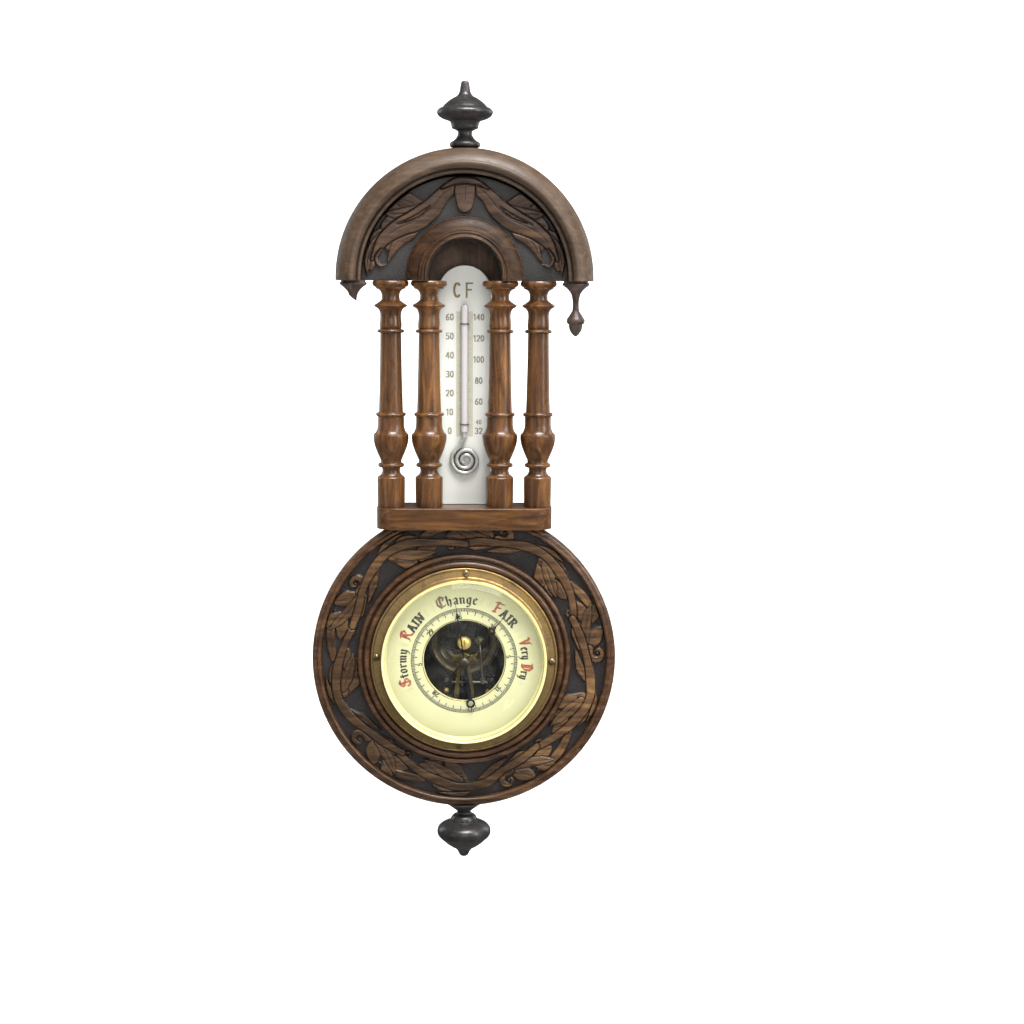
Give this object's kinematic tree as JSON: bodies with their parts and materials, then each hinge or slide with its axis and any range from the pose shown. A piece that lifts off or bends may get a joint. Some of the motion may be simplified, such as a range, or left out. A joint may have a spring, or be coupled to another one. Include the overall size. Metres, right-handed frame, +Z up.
{
  "type": "aneroid barometer",
  "caption": "Wall barometer: round carved wooden case with an aneroid dial under a columned hood that holds a thermometer plate.",
  "frame": {"origin": "centre of the hanging plate's hole, on the wall plane at the back of the case", "axes": "+Z up along the case, +Y into the wall, so the dial faces -Y; +X is to the right of someone reading the dial"},
  "size_m": [0.214, 0.042, 0.5466],
  "materials": {
    "board_wood": "matt oiled walnut, unpolished back",
    "carved_wood": "waxed carved walnut with a stippled dark ground",
    "hood_wood": "faded greyish walnut, dry wax",
    "arch_wood": "waxed walnut, worn edges",
    "dark_wood": "ebonised turned wood, satin",
    "drop_wood": "stained turned walnut",
    "column_wood": "turned walnut, satin wax",
    "shelf_wood": "walnut, satin wax",
    "case_wood": "turned and carved walnut, satin wax, dark ground",
    "screw_steel": "aged steel screws",
    "aged_brass": "dull brass",
    "opal_glass": "opal glass plate with fired markings",
    "clear_glass": "clear glass",
    "mercury": "liquid metal",
    "copper_wire": "oxidised copper wire",
    "case_brass": "dull sheet brass",
    "base_metal": "blackened metal",
    "movement_brass": "lacquered brass",
    "dial_enamel": "cream enamel with printed markings",
    "sight_brass": "polished brass",
    "bezel_brass": "spun brass with brown patina",
    "bezel_screw_brass": "brass screws",
    "capsule_alloy": "bronze-grey corrugated alloy",
    "movement_steel": "drawn steel",
    "spring_steel": "tempered dark spring steel",
    "blued_steel": "blued steel",
    "hand_brass": "toned brass",
    "knob_bronze": "dark bronze"
  },
  "bodies": {
    "case": {"backboard": "board_wood", "tympanum_panel": "carved_wood", "hood_moulding": "hood_wood", "niche_moulding": "arch_wood", "top_finial": "dark_wood", "bottom_finial": "dark_wood", "drop_right": "drop_wood", "drop_left": "drop_wood", "column_outer_left": "column_wood", "column_inner_left": "column_wood", "column_inner_right": "column_wood", "column_outer_right": "column_wood", "shelf": "shelf_wood", "round_case": "case_wood", "case_screws": "screw_steel", "hanging_plate": "aged_brass", "hanging_screws": "screw_steel", "scale_plate": "opal_glass", "thermometer_tube": "clear_glass", "mercury": "mercury", "tube_clips": "copper_wire", "drum": "case_brass", "back_cover": "case_brass", "back_screws": "screw_steel", "base_plate": "base_metal", "base_rivets": "movement_brass", "dial_pillars": "movement_brass", "dial_plate": "movement_brass", "dial_face": "dial_enamel", "sight_ring": "sight_brass", "dial_glass": "clear_glass", "bezel": "bezel_brass", "bezel_screws": "bezel_screw_brass", "capsule_lower": "capsule_alloy", "capsule_upper": "capsule_alloy", "mainspring": "spring_steel", "spring_bracket": "base_metal", "spring_screws": "screw_steel", "rocker_bracket": "movement_brass", "arbor_cock": "movement_brass", "cock_screws": "screw_steel", "bridge_posts": "movement_brass", "upper_bridge": "movement_brass", "hairspring": "blued_steel", "hairspring_stud": "movement_brass"},
    "movement_arbor": {"hand_arbor": "movement_steel", "chain_pulley": "movement_brass", "indicating_hand": "blued_steel"},
    "rocker_shaft": {"rocker": "movement_steel"},
    "lever": {"lever_arm": "movement_steel", "lever_screw": "movement_brass", "link_rod": "movement_steel"},
    "capsule_front": {"capsule_post": "movement_steel", "post_nut": "movement_brass"},
    "chain": {"fusee_chain": "movement_steel"},
    "set_hand_spindle": {"set_hand": "hand_brass", "set_hand_knob": "knob_bronze"},
    "adjuster": {"adjusting_screw": "screw_steel"}
  },
  "joints": [
    {"name": "hand_turn", "type": "hinge", "parent": "case", "child": "movement_arbor", "pos_m": [0, 0, -0.318], "axis": [0, 1, 0], "range_deg": [-131.4, 138.6]},
    {"name": "rocker_turn", "type": "hinge", "parent": "case", "child": "rocker_shaft", "pos_m": [0, -0.013, -0.337], "axis": [1, 0, 0], "range_deg": [-24, 24]},
    {"name": "lever_flex", "type": "hinge", "parent": "case", "child": "lever", "pos_m": [0, -0.0147, -0.272], "axis": [1, 0, 0], "range_deg": [-1, 1], "deforming": ["mainspring"]},
    {"name": "capsule_breathe", "type": "slide", "parent": "case", "child": "capsule_front", "axis": [0, 1, 0], "range_m": [-0.000402, 0.000424], "deforming": ["capsule_upper"]},
    {"name": "chain_run", "type": "slide", "parent": "case", "child": "chain", "axis": [0, 0, 1], "range_m": [-0.0037, 0.0037]},
    {"name": "set_hand_turn", "type": "hinge", "parent": "case", "child": "set_hand_spindle", "pos_m": [0, 0, -0.318], "axis": [0, 1, 0], "continuous": true},
    {"name": "adjusting_screw_turn", "type": "hinge", "parent": "case", "child": "adjuster", "pos_m": [0, 0, -0.307], "axis": [0, 1, 0], "range_deg": [-180, 180]}
  ],
  "couplings": [
    {"joint": "hand_turn", "follows": "capsule_breathe", "rad_per_m": 5699.6},
    {"joint": "rocker_turn", "follows": "capsule_breathe", "rad_per_m": -899.91},
    {"joint": "lever_flex", "follows": "capsule_breathe", "rad_per_m": 28.572},
    {"joint": "chain_run", "follows": "capsule_breathe", "ratio": 8.5494}
  ]
}
